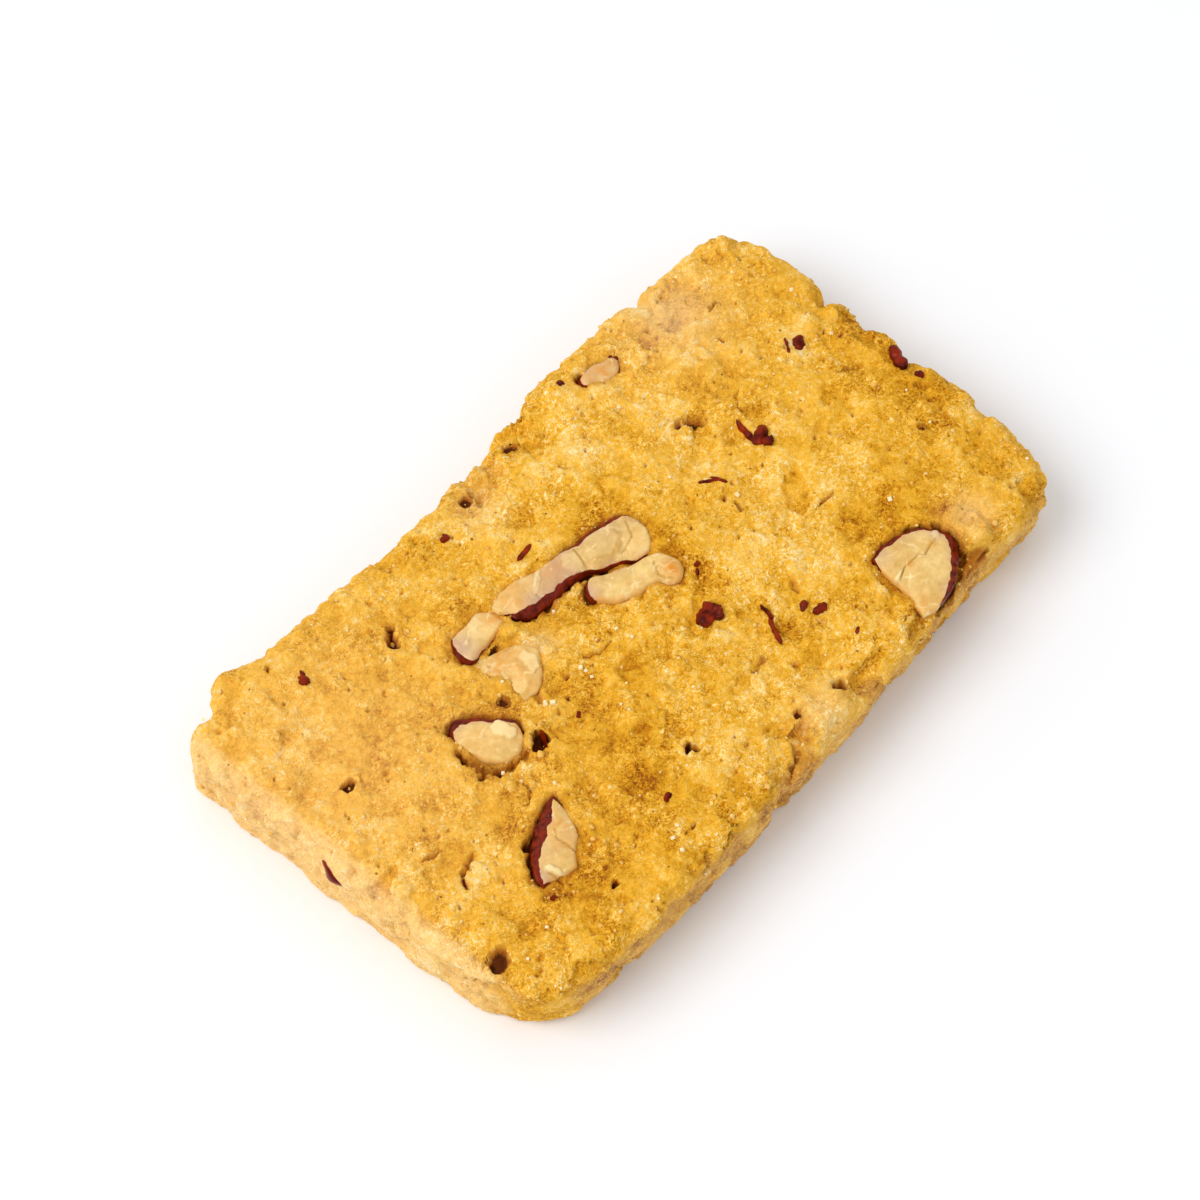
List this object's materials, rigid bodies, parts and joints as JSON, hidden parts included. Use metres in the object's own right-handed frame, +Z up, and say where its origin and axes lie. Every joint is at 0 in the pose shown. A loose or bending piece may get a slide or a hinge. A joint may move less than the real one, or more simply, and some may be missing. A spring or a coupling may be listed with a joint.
{
  "type": "almond cookie",
  "caption": "Rectangular almond shortbread cookie, a thick baked slab of crumbly dough with cut almonds pressed flush into its top face.",
  "frame": {"origin": "on the surface that the cookie lies on, under the middle of its bounding box", "axes": "+X along the cookie's length, +Y across it, +Z up out of the face with the almonds"},
  "size_m": [0.0736, 0.0446, 0.0098],
  "materials": {
    "baked_dough": "dry, crumbly golden shortbread",
    "almond_kernel": "cream cut almond with a thin dark red-brown skin"
  },
  "bodies": {
    "root": {"dough": "baked_dough", "almond_long": "almond_kernel", "almond_sliver": "almond_kernel", "almond_chunk": "almond_kernel", "almond_pale": "almond_kernel", "almond_middle": "almond_kernel", "almond_front": "almond_kernel", "almond_side": "almond_kernel"}
  },
  "joints": []
}
